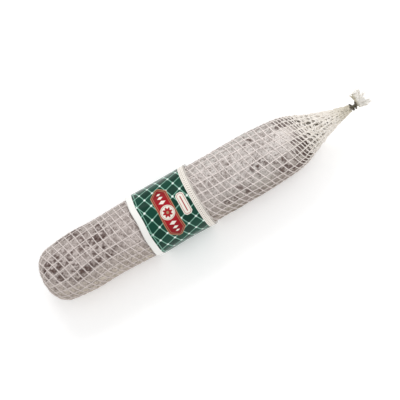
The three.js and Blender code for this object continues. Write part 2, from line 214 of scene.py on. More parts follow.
def pillow(along, angle):
    """The swelling between the strings, 0 along them and 1 in the middle of a mesh."""
    warp = angle * WARPS / TURN
    weft = along / WEFT_SPACING - CLIMB * warp
    across, lengthwise = np.abs(2 * (warp % 1) - 1), np.abs(2 * (weft % 1) - 1)
    return (1 - across**3) * (1 - lengthwise**3)


def pleats(along, angle):
    """Folds that radiate from the tail over the casing's shoulder."""
    tail = length_at(casing_outline, 119)
    gathered = smooth(along, tail - 16, tail - 3)
    fold = np.cos(PLEATS * angle + 0.7 * np.sin(2 * angle) + along / 9)
    return 0.55 * gathered * (1 - 0.5 * smooth(along, tail + 12, tail + 17)) * fold


def worn_at(x, row):
    """How far the mould is rubbed off: in stretches of single rows of meshes."""
    rng = np.random.default_rng(7)
    stretches = [(row, *stretch) for row, found in WORN_ROWS.items() for stretch in found]
    for hidden in HIDDEN_ROWS:
        for start in rng.uniform(-165, 95, HIDDEN_STRETCHES):
            stretches.append((hidden, start, start + rng.uniform(5, 30), rng.uniform(0.5, 1)))
    worn = np.zeros(len(x))
    for found, start, end, bareness in stretches:
        inside = smooth(x, start - 2, start + 1) * (1 - smooth(x, end - 1, end + 2))
        worn = np.maximum(worn, bareness * inside * (row == found % WARPS))
    return worn


def make_mesh(name, points, faces=(), edges=()):
    mesh = bpy.data.meshes.new(name)
    mesh.from_pydata((np.asarray(points) * MM).tolist(), edges, faces)
    mesh.shade_smooth()
    return mesh


def show(name, mesh, material):
    piece = bpy.data.objects.new(name, mesh)
    bpy.context.scene.collection.objects.link(piece)
    if material.name not in mesh.materials:
        mesh.materials.append(material)
    return piece


def store(mesh, name, values):
    values = np.asarray(values, float)
    kind = "FLOAT" if values.ndim == 1 else "FLOAT_VECTOR"
    field = mesh.attributes.new(name, kind, "POINT")
    field.data.foreach_set("value" if values.ndim == 1 else "vector", values.ravel())


def closed_rows(rows, columns, first=0):
    """Quads between rings of as many points, with the faces pointing out."""
    ring = np.arange(columns)
    here = first + np.arange(rows - 1)[:, None] * columns
    ahead = (ring + 1) % columns
    quads = np.stack([here + ring, here + columns + ring, here + columns + ahead, here + ahead], -1)
    return quads.reshape(-1, 4).tolist()


def casing_mesh():
    rows = casing_rows()[1:-1]
    angle = np.arange(CASING_COLUMNS) * TURN / CASING_COLUMNS
    along, angle = (grid.ravel() for grid in np.meshgrid(rows, angle, indexing="ij"))
    inside_net = 1 - smooth(along, *length_at(casing_outline, LEAVES_NET))
    base = place(casing_outline, along, angle, np.zeros_like(along))
    swelling = pillow(along, angle) * inside_net * (1 - 0.65 * smooth(base[:, 0], *FLATTER))
    large, middling, small = (noise_at(base, size, 1 + i) for i, size in enumerate(LUMP_GRAINS))
    lumps = 0.25 * large + (0.05 + 0.25 * swelling) * middling
    lumps += (0.03 + 0.15 * swelling) * small
    caked = smooth(noise_at(base, CAKE_GRAIN, 8), 0.12, 0.5)
    caked *= smooth(base[:, 0], *CAKED_FROM) * (1 - 0.85 * smooth(base[:, 0], *CAKED_TO))
    lumps += CAKE_HEIGHT * caked
    height = GROOVE_HEIGHT + PILLOW * swelling + lumps + pleats(along, angle)
    height = np.minimum(height, RIDGE + 0.1) * smooth(along, 0, 4)
    points = place(casing_outline, along, angle, height)

    warp = np.floor(angle * WARPS / TURN).astype(int) % WARPS
    weft = np.floor(along / WEFT_SPACING - CLIMB * angle * WARPS / TURN).astype(int) % 64
    luck, other_luck = np.random.default_rng(3).random((2, WARPS, 64))[:, warp, weft]
    coarse, fine = (noise_at(points, size, 4 + i) for i, size in enumerate(SPOT_GRAINS))
    spots = coarse + 0.8 * fine
    cloud = noise_at(points, CLOUD_GRAIN, 6)
    worn = worn_at(points[:, 0], warp)
    patchy = 0.5 + 0.45 * np.minimum(worn, 1)
    worn = worn * (0.6 + 0.3 * luck) + patchy * spots + 0.12 * cloud
    middle = smooth(pillow(along, angle), 0.1, 0.55) * (1 - smooth(points[:, 0], *BARE_TO))
    bare = smooth(worn, 0.3, 0.95) * (0.06 + 0.94 * middle)
    thin = smooth(0.75 * other_luck + 0.4 * cloud + 0.6 * spots - caked, 0.1, 0.95) * middle
    thin *= 1 - 0.4 * smooth(points[:, 0], *LESS_THIN)

    ends = place(casing_outline, casing_rows()[[0, -1]], np.zeros(2), np.zeros(2))
    mesh_points = np.vstack([points, ends])
    count = len(points)
    ring = list(range(CASING_COLUMNS))
    ahead = ring[1:] + ring[:1]
    faces = closed_rows(len(rows), CASING_COLUMNS)
    faces += [(count, a, b) for a, b in zip(ring, ahead)]
    last = count - CASING_COLUMNS
    faces += [(count + 1, last + b, last + a) for a, b in zip(ring, ahead)]
    mesh = make_mesh("casing", mesh_points, faces)
    store(mesh, "bare", np.append(bare, [0, 0]))
    store(mesh, "thin", np.append(thin, [0, 0]))
    store(mesh, "groove", np.append(1 - swelling, [1, 0]))
    return mesh


def add(tree, kind, *values, sockets=(), **settings):
    """Adds a node. Values fill its open sockets in turn: a node or socket is linked."""
    node = tree.nodes.new(kind)
    for name, setting in settings.items():
        setattr(node, name, setting)
    pairs = list(zip([socket for socket in node.inputs if socket.enabled], values))
    pairs += [(node.inputs[name], value) for name, value in dict(sockets).items()]
    for socket, value in pairs:
        if isinstance(value, bpy.types.Node):
            value = next(output for output in value.outputs if output.enabled)
        if isinstance(value, bpy.types.NodeSocket):
            tree.links.new(value, socket)
        elif value is not None:
            socket.default_value = value
    return node


def paint(hex_colour):
    """An sRGB hex colour as linear RGBA."""
    channels = [int(hex_colour[i : i + 2], 16) / 255 for i in (1, 3, 5)]
    linear = [c / 12.92 if c <= 0.04045 else ((c + 0.055) / 1.055) ** 2.4 for c in channels]
    return (*linear, 1)


def new_material(name):
    material = bpy.data.materials.new(name)
    material.use_nodes = True
    material.node_tree.nodes.clear()
    return material, material.node_tree


def grains(tree, where, size, detail=3, distortion=0):
    """Noise whose lumps have the given size in mm."""
    return add(tree, "ShaderNodeTexNoise", where, 1 / (size * MM), detail, 0.55, 2, distortion)


def between(tree, share, first, second):
    return add(tree, "ShaderNodeMix", share, first, second, data_type="RGBA")


def maths(tree, operation, *values, **settings):
    return add(tree, "ShaderNodeMath", *values, operation=operation, **settings)


def ramp(tree, value, low, high, to_low=0, to_high=1):
    return add(tree, "ShaderNodeMapRange", value, low, high, to_low, to_high)


def away(tree, value, middle):
    return maths(tree, "ABSOLUTE", maths(tree, "SUBTRACT", value, middle))


POWDER_LEFT = paint("#c9beba")
POWDER = paint("#d6d0cc")
POWDER_WHITE = paint("#efe7e2")
POWDER_COOL_LEFT = paint("#a6a29e")
POWDER_COOL = paint("#d2d3ce")
POWDER_THIN = paint("#9b8f8a")
CASING_TAN = paint("#6b5d56")
CASING_PALE = paint("#cabfaa")
# Darker beige of the underside on the right: partly the casing's tint, partly painted shade.
CASING_BEIGE_SHADED = paint("#7d7462")
# Paler than the tail's own olive tint: painted light against the shade inside the net's cone.
CASING_TAIL = paint("#efe6cd")
MEAT_BROWN = paint("#5a4640")
MEAT_DARK = paint("#2a1d1c")


def moulded_casing():
    """Fibrous casing, dried and powdered with mould: matt, chalky and mottled, with brown
    meat behind it where the powder is gone. Beige and darker towards its underside, partly its own
    tint and partly painted shade, and cooler at the back."""
    material, tree = new_material("fibrous_casing_dried_and_moulded")
    where = add(tree, "ShaderNodeTexCoord").outputs["Object"]
    axes = add(tree, "ShaderNodeSeparateXYZ", where)
    groove, bare, thin = (
        add(tree, "ShaderNodeAttribute", attribute_name=name).outputs["Fac"]
        for name in ("groove", "bare", "thin")
    )
    cloud = ramp(tree, grains(tree, where, 12, 4), 0.36, 0.64)
    fibre = add(tree, "ShaderNodeMapping", where, None, None, (0.45, 1, 1))
    grit = ramp(tree, grains(tree, fibre, 1.8, 3, 0.8), 0.52, 0.62)
    fleck = ramp(tree, grains(tree, where, 3.4, 4, 0.6), 0.54, 0.62)
    speck = ramp(tree, grains(tree, where, 0.9, 2), 0.5, 0.66)
    pit = ramp(tree, grains(tree, where, 1.5, 2), 0.57, 0.64)

    right = ramp(tree, axes.outputs["X"], -60 * MM, 20 * MM)
    colour = between(tree, right, POWDER_LEFT, POWDER)
    end = ramp(tree, axes.outputs["X"], 72 * MM, 104 * MM, 0, 0.7)
    colour = between(tree, end, colour, POWDER_WHITE)
    # Beige and darker towards the underside: partly the casing's own tint, partly painted shade of its
    # lower side.
    under = ramp(tree, axes.outputs["Z"], 55 * MM, 29 * MM, 0, 0.92)
    beige_and_shade = between(tree, right, CASING_PALE, CASING_BEIGE_SHADED)
    colour = between(tree, under, colour, beige_and_shade)
    back = ramp(tree, axes.outputs["Y"], 6 * MM, 27 * MM, 0, 0.75)
    cool = between(tree, right, POWDER_COOL_LEFT, POWDER_COOL)
    colour = between(tree, back, colour, cool)
    cloudy = maths(tree, "MULTIPLY", cloud, 0.3)
    colour = between(tree, cloudy, colour, POWDER_THIN)
    sparse = maths(tree, "MULTIPLY", thin, 0.75)
    colour = between(tree, sparse, colour, POWDER_THIN)
    kept = ramp(tree, axes.outputs["X"], 72 * MM, 100 * MM, 0.4, 0.05)
    caught = maths(tree, "MULTIPLY", groove, kept)
    colour = between(tree, caught, colour, POWDER_WHITE)
    for fine, strength in ((grit, 0.42), (fleck, 0.42), (pit, 0.8)):
        kept = ramp(tree, axes.outputs["X"], 72 * MM, 100 * MM, strength, 0.5 * strength)
        rubbed = maths(tree, "MULTIPLY", fine, kept)
        colour = between(tree, rubbed, colour, CASING_TAN)
    shade = ramp(tree, away(tree, axes.outputs["X"], BAND_LEFT * MM), 2.4 * MM, 0.8 * MM, 0, 0.6)
    colour = between(tree, shade, colour, CASING_TAN)
    # Painted light: the tail is painted paler than its own tint, against the shade inside the net's cone.
    tail = ramp(tree, axes.outputs["X"], 113 * MM, 119 * MM)
    colour = between(tree, tail, colour, CASING_TAIL)
    meat = between(tree, speck, MEAT_BROWN, MEAT_DARK)
    cover = maths(tree, "MULTIPLY_ADD", grit, 0.3, 0.8)
    worn = maths(tree, "MULTIPLY", bare, cover, use_clamp=True)
    colour = between(tree, worn, colour, meat)

    relief = grains(tree, where, 0.8, 4)
    bump = add(tree, "ShaderNodeBump", sockets={
        "Strength": 0.5, "Distance": 0.35 * MM, "Height": relief,
    })
    shader = add(tree, "ShaderNodeBsdfPrincipled", sockets={
        "Base Color": colour, "Roughness": 0.88, "Specular IOR Level": 0.3, "Normal": bump,
    })
    add(tree, "ShaderNodeOutputMaterial", shader)
    return material


casing = show("casing", casing_mesh(), moulded_casing())
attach(casing, "root")
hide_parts("salami")

# The net: undyed two-ply cotton string, knitted as a tube. Warps run along the sausage, and
# eight strings wind round it, each hitched to every warp that it crosses. It grips the meat by
# its own stretch. Towards the tied end the warps close up, and the windings hang slack.
WARP_RADIUS = 0.6
WEFT_RADIUS = 0.56
WEAVE = 0.12  # how far the strings pass over and under each other
WARP_SUNK = 0.2  # under the windings, which pass outside them
PLY_PITCH = 8.0  # length of one turn of the two plies
PLY_FLATNESS = 0.74
YARN_FUZZ = 0.04
SLACK_LENGTH = 10  # of a winding between two warps, where the net isn't stretched
NET_START = 3.4
NET_END_X = 157
WEFT_END_X = 155
SLACK_STAGGER = 5  # mm from one's start to the next one's, counted round WEFT_STARTS
SLACK_WINDINGS = [  # more from the shoulder on: offset, from where along X, and inwards
    (0.5, 88, 0), (0.25, 103, 0.03), (0.75, 105, 0.06),
    (0, 107, 0.12), (0.5, 109, 0.2), (0.25, 111, 0.3),
]
HITCH_START = 16
HITCH_END_X = 148
NECK_MIDDLE = 162
HITCH_LOOP = 0.62
HITCH_STRAND = 0.27
HITCH_LEAN = (0.35, 0.25, 0)  # radians
STEPS_PER_MESH = 9


def new_tree(name, amounts, whole_name, whole):
    """A tree of Geometry Nodes with named inputs, and the sockets that they come in by."""
    tree = bpy.data.node_groups.new(name, "GeometryNodeTree")
    inputs = [("Geometry", "Geometry", None)]
    inputs += [(label, "Float", value) for label, value in amounts]
    inputs += [(whole_name, "Int", whole), ("Material", "Material", None)]
    for label, kind, value in inputs:
        socket = tree.interface.new_socket(label, in_out="INPUT", socket_type="NodeSocket" + kind)
        if value is not None:
            socket.default_value = value
    tree.interface.new_socket("Geometry", in_out="OUTPUT", socket_type="NodeSocketGeometry")
    return tree, add(tree, "NodeGroupInput").outputs


def end_tree(tree, given, grown_shape):
    for kind in ("SetShadeSmooth", "RealizeInstances"):
        grown_shape = add(tree, "GeometryNode" + kind, grown_shape)
    grown_shape = add(tree, "GeometryNodeSetMaterial", grown_shape, None, given["Material"])
    add(tree, "NodeGroupOutput", grown_shape)
    return tree


def yarn_tree():
    """Follows lines with a two-ply string: an oval section that turns along them."""
    amounts = (("Ply pitch", PLY_PITCH * MM), ("Flatness", PLY_FLATNESS), ("Fuzz", YARN_FUZZ * MM))
    tree, given = new_tree("two_ply_string", amounts, "Sides", 8)
    thickness = add(tree, "GeometryNodeInputNamedAttribute", "thickness", data_type="FLOAT")
    length = add(tree, "GeometryNodeInputNamedAttribute", "length", data_type="FLOAT")
    line = add(tree, "GeometryNodeMeshToCurve", given["Geometry"])
    turns = maths(tree, "DIVIDE", length, given["Ply pitch"])
    tilt = maths(tree, "MULTIPLY", turns, TURN)
    line = add(tree, "GeometryNodeSetCurveTilt", line, None, tilt)
    circle = add(tree, "GeometryNodeCurvePrimitiveCircle", given["Sides"], 1.0, mode="RADIUS")
    oval = add(tree, "ShaderNodeCombineXYZ", 1.0, given["Flatness"], 1.0)
    section = add(tree, "GeometryNodeTransform", circle, sockets={"Scale": oval})
    string = add(tree, "GeometryNodeCurveToMesh", line, section, thickness, True)
    strands = add(tree, "ShaderNodeTexNoise", None, 900.0, 2.0)
    fuzz = centred_and_scaled(tree, strands.outputs["Color"], given["Fuzz"])
    string = add(tree, "GeometryNodeSetPosition", string, sockets={"Offset": fuzz})
    return end_tree(tree, given, string)


def centred_and_scaled(tree, chance, size):
    """Random values from 0 to 1 as values to both sides of 0."""
    centred = add(tree, "ShaderNodeVectorMath", chance, (0.5, 0.5, 0.5), operation="SUBTRACT")
    return add(tree, "ShaderNodeVectorMath", centred, sockets={"Scale": size}, operation="SCALE")


def grown(name, mesh, tree, **inputs):
    """The plain mesh that a tree of Geometry Nodes makes from another mesh."""
    seedling = bpy.data.objects.new(name + "_lines", mesh)
    bpy.context.scene.collection.objects.link(seedling)
    modifier = seedling.modifiers.new("grow", "NODES")
    modifier.node_group = tree
    for item in tree.interface.items_tree:
        key = item.name.lower().replace(" ", "_")
        if item.in_out == "INPUT" and key in inputs:
            modifier[item.identifier] = inputs[key]
    depsgraph = bpy.context.evaluated_depsgraph_get()
    result = bpy.data.meshes.new_from_object(seedling.evaluated_get(depsgraph), depsgraph=depsgraph)
    result.name = name
    bpy.data.objects.remove(seedling)
    bpy.data.meshes.remove(mesh)
    return result


def string_lines(name, paths):
    """Paths of points and radii as lines, with each string's thickness and running length."""
    points, edges, radii, lengths = [], [], [], []
    for path, radius in paths:
        first = len(points)
        points.extend(path.tolist())
        edges.extend((first + i, first + i + 1) for i in range(len(path) - 1))
        radii.append(np.broadcast_to(radius, len(path)))
        step = np.linalg.norm(np.diff(path, axis=0), axis=1)
        lengths.append(np.concatenate([[0], np.cumsum(step)]))
    mesh = make_mesh(name, points, (), edges)
    store(mesh, "thickness", np.concatenate(radii) * MM)
    store(mesh, "length", np.concatenate(lengths) * MM)
    return mesh


def mesh_gap(along):
    """The distance between two warps."""
    return TURN * radius_at(net_outline, along) / WARPS


def string_radius(along, full):
    """The string's radius: fuller where the net isn't stretched, and squeezed at its ends."""
    relaxed = 1 + 0.6 * smooth(along, *length_at(net_outline, (98, 118)))
    return np.minimum(full * relaxed, 0.44 * mesh_gap(along))


def hang(along):
    """How far a slack winding hangs down between its warps."""
    spare = SLACK_LENGTH**2 - mesh_gap(along) ** 2
    loose = smooth(along, *length_at(net_outline, (103, 117)))
    return 0.46 * np.sqrt(np.maximum(spare, 0)) * loose


def warp_path(warp):
    end = length_at(net_outline, NET_END_X)
    along = np.linspace(NET_START, end, round((end - NET_START) / 1.15))
    angle = TURN * warp / WARPS
    crossing = along / WEFT_SPACING - CLIMB * warp
    radius = string_radius(along, WARP_RADIUS)
    over = -WEAVE * np.cos(math.pi * crossing) * (-1) ** warp * radius / WARP_RADIUS
    height = RIDGE - radius + over - WARP_SUNK
    return place(net_outline, along, np.full_like(along, angle), height, radius), radius


def hitch_points():
    """The crossings of warps and windings, with the directions along the warp and outwards."""
    end = length_at(net_outline, HITCH_END_X)
    spots = [
        (along, TURN * warp / WARPS)
        for warp in range(WARPS)
        for along in np.arange(CLIMB * warp % 1, end / WEFT_SPACING) * WEFT_SPACING
        if along > HITCH_START
    ]
    along, angle = np.array(spots).T
    size = string_radius(along, WARP_RADIUS) / WARP_RADIUS
    reach = (HITCH_LOOP + HITCH_STRAND) * size
    height = RIDGE - WARP_RADIUS * size
    middle = place(net_outline, along, angle, height, reach)
    ahead = place(net_outline, along + 0.5, angle, height, reach) - middle
    outward = place(net_outline, along, angle, height + 1) - place(net_outline, along, angle, height)
    mesh = make_mesh("crossings", middle)
    store(mesh, "ahead", ahead)
    store(mesh, "outward", outward)
    store(mesh, "size", size)
    return mesh


def hitch_tree():
    """Sets a loop of string round every crossing, a little skew like a real hitch."""
    amounts = (("Loop radius", HITCH_LOOP * MM), ("Strand radius", HITCH_STRAND * MM), ("Skew", 0.5))
    tree, given = new_tree("hitches", amounts, "Seed", 5)
    ring = add(tree, "GeometryNodeCurvePrimitiveCircle", 8, given["Loop radius"], mode="RADIUS")
    section = add(tree, "GeometryNodeCurvePrimitiveCircle", 5, given["Strand radius"], mode="RADIUS")
    loop = add(tree, "GeometryNodeCurveToMesh", ring, section, 1.0, False)
    ahead = add(tree, "GeometryNodeInputNamedAttribute", "ahead", data_type="FLOAT_VECTOR")
    outward = add(tree, "GeometryNodeInputNamedAttribute", "outward", data_type="FLOAT_VECTOR")
    size = add(tree, "GeometryNodeInputNamedAttribute", "size", data_type="FLOAT")
    lie = add(tree, "FunctionNodeAxesToRotation", ahead, outward)
    chance = add(tree, "FunctionNodeRandomValue", sockets={"Seed": given["Seed"]}, data_type="FLOAT_VECTOR")
    skew = centred_and_scaled(tree, chance, given["Skew"])
    skew = add(tree, "ShaderNodeVectorMath", skew, HITCH_LEAN, operation="ADD")
    skew = add(tree, "FunctionNodeEulerToRotation", skew)
    lie = add(tree, "FunctionNodeRotateRotation", lie, skew, rotation_space="LOCAL")
    loops = add(tree, "GeometryNodeInstanceOnPoints", given["Geometry"], None, loop, None, None, lie, size)
    return end_tree(tree, given, loops)


def weft_path(start, low=NET_START + 1.5, inward=0):
    """One winding string: straight over the sausage, and in loops between the drawn-in warps.
    It may lie inside the net, by a share of the net's radius."""
    high = length_at(net_outline, WEFT_END_X)
    first, last = ((end / WEFT_SPACING - start) / CLIMB for end in (low, high))
    warp = np.arange(math.ceil(first * STEPS_PER_MESH), math.floor(last * STEPS_PER_MESH) + 1)
    warp = warp / STEPS_PER_MESH
    along = (start + CLIMB * warp) * WEFT_SPACING
    rng = np.random.default_rng(100 + round(4 * start))
    count = math.ceil(last - first) + 3
    which = np.floor(warp - math.floor(first)).astype(int)
    depth = rng.uniform(0.7, 1.15, count)[which] * np.where(rng.random(count) < 0.6, 1, -1)[which]
    share = warp % 1
    slack = hang(along)
    loose = np.clip(slack / 3, 0, 1)
    sway = np.sin(math.pi * share) ** 0.8
    along = along + slack * depth * sway
    warp = warp - 0.13 * loose * np.sin(TURN * share)
    radius = string_radius(along, WEFT_RADIUS)
    over = WEAVE * np.cos(math.pi * (warp + start)) * radius / WEFT_RADIUS
    bulge = 0.8 * loose * np.sin(math.pi * share) * rng.uniform(-1.3, 1.3, count)[which]
    height = RIDGE - radius + over + bulge - inward * loose * radius_at(net_outline, along)
    return place(net_outline, along, TURN * warp / WARPS, height, radius), radius


COTTON = paint("#f8efeb")
COTTON_DUSTY = paint("#cdc1bc")
COTTON_CREAM = paint("#f8f2ea")
COTTON_SOILED = paint("#e2dacd")
COTTON_HANDLED = paint("#c6bda2")
COTTON_CLEAN = paint("#fffcf6")
# Painted shade of the gathered neck inside the clips.
COTTON_NECK_SHADE = paint("#58523f")


def cotton_string(name, clean, dusty, free):
    """Undyed cotton string, spun and plied: matt and soft, dusted with mould on the sausage and darker
    towards the bottom, partly with painted shade, creamier where it hangs free, and darkened with
    painted shade inside the clips."""
    material, tree = new_material(name)
    where = add(tree, "ShaderNodeTexCoord").outputs["Object"]
    axes = add(tree, "ShaderNodeSeparateXYZ", where)
    dust = ramp(tree, grains(tree, where, 4, 4), 0.42, 0.72, 0, 0.6)
    colour = between(tree, dust, clean, dusty)
    # Darker towards the bottom: partly dust, partly painted shade of the lower side.
    low = ramp(tree, axes.outputs["Z"], 48 * MM, 22 * MM, 0, 0.8)
    colour = between(tree, low, colour, dusty)
    left = ramp(tree, axes.outputs["X"], 0, -90 * MM, 0, 0.3)
    colour = between(tree, left, colour, dusty)
    hanging = ramp(tree, axes.outputs["X"], 80 * MM, 116 * MM)
    loose = between(tree, dust, free, COTTON_SOILED)
    colour = between(tree, hanging, colour, loose)
    neck = (NECK_MIDDLE * MM, 0, AXIS_HEIGHT * MM)
    gathered = ramp(tree, axes.outputs["X"], 136 * MM, 160 * MM, 0, 0.75)
    held = ramp(tree, axes.outputs["X"], 166 * MM, 168 * MM, 1, 0)
    gathered = maths(tree, "MULTIPLY", gathered, held)
    colour = between(tree, gathered, colour, COTTON_HANDLED)
    # Painted shade: the strings darken inside the clips, where the gathered neck lies in shade.
    distance = add(tree, "ShaderNodeVectorMath", where, neck, operation="DISTANCE")
    neck_shade = ramp(tree, distance.outputs["Value"], 4.2 * MM, 3 * MM, 0, 0.9)
    colour = between(tree, neck_shade, colour, COTTON_NECK_SHADE)
    fibres = grains(tree, where, 0.35, 3)
    bump = add(tree, "ShaderNodeBump", sockets={
        "Strength": 0.6, "Distance": 0.15 * MM, "Height": fibres,
    })
    shader = add(tree, "ShaderNodeBsdfPrincipled", sockets={
        "Base Color": colour, "Roughness": 0.9, "Specular IOR Level": 0.25,
        "Sheen Weight": 0.25, "Sheen Roughness": 0.6, "Normal": bump,
    })
    add(tree, "ShaderNodeOutputMaterial", shader)
    return material


cotton = cotton_string("cotton_string_two_ply", COTTON, COTTON_DUSTY, COTTON_CREAM)
yarn = yarn_tree()


def show_string(name, lines, tree, material=cotton, **inputs):
    piece = show(name, grown(name, lines, tree, material=material, **inputs), material)
    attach(piece, "root")
    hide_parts("net")
    return piece


warps = string_lines("net_warps", [warp_path(warp) for warp in range(WARPS)])
windings = [weft_path(start) for start in range(WEFT_STARTS)]
slack_windings = [
    weft_path(start + offset, length_at(net_outline, x + SLACK_STAGGER * start % WEFT_STARTS), inward)
    for offset, x, inward in SLACK_WINDINGS
    for start in range(WEFT_STARTS)
]
windings = string_lines("net_windings", windings)
slack_windings = string_lines("net_slack_windings", slack_windings)
show_string("net_warps", warps, yarn)
show_string("net_windings", windings, yarn)
show_string("net_slack_windings", slack_windings, yarn, sides=6)
show_string("net_hitches", hitch_points(), hitch_tree())

# The ends of the net. At the blunt end its strings are drawn into the dimple and tied in a flat
# knot. At the other end they are gathered shut, and beyond the clips the cut net flares out in
# a ruffled tuft, two layers deep and frayed along its edge.
KNOT_REACH = 3.0
KNOT_ROUND = 1.15
KNOT_STRAND = 0.8
KNOT_MIDDLE = (-173.2, 0, AXIS_HEIGHT)
KNOT_HEART = 0.4  # the inner turns' size, as a share of the outer ones
KNOT_HEART_MIDDLE = (-174, 0, AXIS_HEIGHT)
NECK_START_X = 158.2
NECK_END_X = 165.6
NECK_RADIUS = 1.7
NECK_STRAND = 0.34
TUFT_LEAN = math.radians(-65)  # the long side points up and to the back
TUFT_ACROSS = (8.3, 3.9)
TUFT_AHEAD = (7.8, 1, 4)
TUFT_RUFFLE = (0.9, 3.4)
TUFT_RUFFLE_TURN = -0.6
TUFT_LOBES = 5
TUFT_FLARE = 1.2
TUFT_FOLDS = 11
TUFT_FOLD = (2.4, 0.7)  # along and across, at the edge
TUFT_STRANDS = 2 * WARPS
TUFT_STRAND = 0.42
TUFT_ROWS = 9
TUFT_FRAY = 0.12  # as a share of a strand's reach


def tuft_place(angle, share, inside):
    """Points on the tuft's cup, on the way out from the neck, at a depth inside its surface."""
    lean = np.cos(angle - TUFT_LEAN)
    mean, extra = TUFT_ACROSS
    sides, less, less_square = TUFT_AHEAD
    across = mean + extra * lean + TUFT_RUFFLE[0] * np.sin(TUFT_LOBES * angle)
    ruffle = TUFT_RUFFLE[1] * np.sin(TUFT_LOBES * angle + TUFT_RUFFLE_TURN)
    ahead = sides - less * lean - less_square * lean**2 + ruffle
    fold = share**1.5 * np.sin(TUFT_FOLDS * angle + 2 * np.sin(3 * angle))
    x = NECK_END_X + ahead * share + 0.7 * inside * share + TUFT_FOLD[0] * fold
    radius = NECK_RADIUS + (across - NECK_RADIUS) * share**TUFT_FLARE - inside
    radius = radius + TUFT_FOLD[1] * fold
    return np.stack([x, -radius * np.sin(angle), AXIS_HEIGHT + radius * np.cos(angle)], -1)


def tuft_strand(index, inside, reach, rng):
    """A string from the gathered net through the neck and out along the tuft."""
    angle = TURN * index / TUFT_STRANDS
    neck_x = np.linspace(NECK_START_X - 3.5, NECK_END_X, 9)
    squeeze = np.interp(neck_x, (NECK_START_X - 3.5, NECK_START_X, NECK_END_X), (1.6, 0, 0))
    radius = NECK_RADIUS - NECK_STRAND + squeeze - 0.5 * inside
    neck = np.stack(
        [neck_x, -radius * np.sin(angle), AXIS_HEIGHT + radius * np.cos(angle)], -1
    )
    share = np.linspace(0.06, reach * (1 + rng.uniform(-TUFT_FRAY, TUFT_FRAY)), 16)
    sway = angle + share**2 * rng.uniform(-0.1, 0.1) + 0.05 * np.sin(share * 14 + rng.uniform(0, TURN))
    out = tuft_place(sway, share, inside + NECK_STRAND + rng.uniform(-0.3, 0.2) * share)
    strand = np.interp(share, (0, 0.4, 0.92, 1), (NECK_STRAND, TUFT_STRAND, TUFT_STRAND, 0.3))
    return np.vstack([neck, out]), np.concatenate([np.full(len(neck), NECK_STRAND), strand])


def tuft_winding(share, inside, rng):
    """One of the cross strings, bunched up in waves between the strands."""
    angle = np.linspace(0, TURN, 8 * WARPS + 1)
    wave = np.sin(WARPS * angle + rng.uniform(0, TURN)) * rng.uniform(0.02, 0.05)
    at = share + wave + 0.02 * np.sin(3 * angle + rng.uniform(0, TURN))
    depth = inside + 0.3 * np.cos(WARPS * angle + rng.uniform(0, TURN))
    return tuft_place(angle, at, depth), 0.36


def tuft_paths():
    rng = np.random.default_rng(12)
    paths = []
    for inside, reach, rows in ((0, 1, TUFT_ROWS), (1.1, 0.93, TUFT_ROWS - 1)):
        paths += [tuft_strand(i + 0.5 * inside, inside, reach, rng) for i in range(TUFT_STRANDS)]
        shares = np.linspace(0.28, 0.95, rows) * reach
        paths += [tuft_winding(share, inside, rng) for share in shares]
    return paths


def knot_path():
    """A flat knot, wound like a rosette round the pole of the blunt end."""
    turn = np.linspace(0, 2 * TURN, 150)
    reach = KNOT_REACH + KNOT_ROUND * np.cos(2.5 * turn)
    x = KNOT_MIDDLE[0] - 0.9 * KNOT_ROUND * np.sin(2.5 * turn)
    return np.stack([x, -reach * np.sin(turn), AXIS_HEIGHT + reach * np.cos(turn)], -1)


cut_cotton = cotton_string("cotton_string_cut_end", COTTON_CLEAN, COTTON_CREAM, COTTON_CLEAN)
show_string("net_tuft", string_lines("net_tuft", tuft_paths()), yarn, cut_cotton, sides=6)
outer_turns = knot_path()
inner_turns = KNOT_HEART * (outer_turns - KNOT_MIDDLE) + KNOT_HEART_MIDDLE
knot = [(outer_turns, KNOT_STRAND), (inner_turns, KNOT_STRAND)]
show_string("net_knot", string_lines("net_knot", knot), yarn, sides=10)

# The clips: two rings of dull aluminium wire, bent nearly shut round the gathered net and
# squeezed tight by the clipping machine. Their cut legs stand out to one side.
CLIP_PLACES = (159.8, 163.8)
CLIP_TILTS = (-18, 16)  # they lean apart on the side of their legs
CLIP_TURN = -30
CLIP_WIRE = 1.8
CLIP_GAP = 0.4
CLIP_OPENING = math.radians(36)
CLIP_LEG = 1.2
CLIP_SECTION = 14


def clip_path():
    """The wire's middle line: a leg, round the neck, and the other leg."""
    radius = NECK_RADIUS + CLIP_GAP + CLIP_WIRE / 2
    angle = np.linspace(CLIP_OPENING, TURN - CLIP_OPENING, 36)
    bend = np.stack([0 * angle, -radius * np.sin(angle), radius * np.cos(angle)], -1)
    up = np.linspace(CLIP_LEG, 0.3, 4)[:, None] * (0, 0, 1)
    return np.vstack([bend[0] + up, bend, bend[-1] + up[::-1]])


def clip_mesh(name):
    """A round wire, pressed a little flat where it grips and rounded off at its cut ends."""
    path = clip_path()
    side = np.array((1, 0, 0))
    tangent = np.gradient(path, axis=0)
    tangent /= np.linalg.norm(tangent, axis=1)[:, None]
    inward = np.cross(tangent, side)
    ends = np.minimum(np.arange(len(path)), np.arange(len(path))[::-1])
    width = CLIP_WIRE / 2 * np.interp(ends, (0, 1, 2), (0.7, 0.93, 1))
    angle = np.arange(CLIP_SECTION) * TURN / CLIP_SECTION
    across = np.cos(angle)[None, :, None] * side + 0.94 * np.sin(angle)[None, :, None] * inward[:, None]
    rings = path[:, None] + width[:, None, None] * across
    points = np.vstack([rings.reshape(-1, 3), path[[0, -1]]])
    faces = closed_rows(len(path), CLIP_SECTION)
    count, last = len(path) * CLIP_SECTION, (len(path) - 1) * CLIP_SECTION
    for i in range(CLIP_SECTION):
        after = (i + 1) % CLIP_SECTION
        faces += [(count, i, after), (count + 1, last + after, last + i)]
    return make_mesh(name, points, faces)


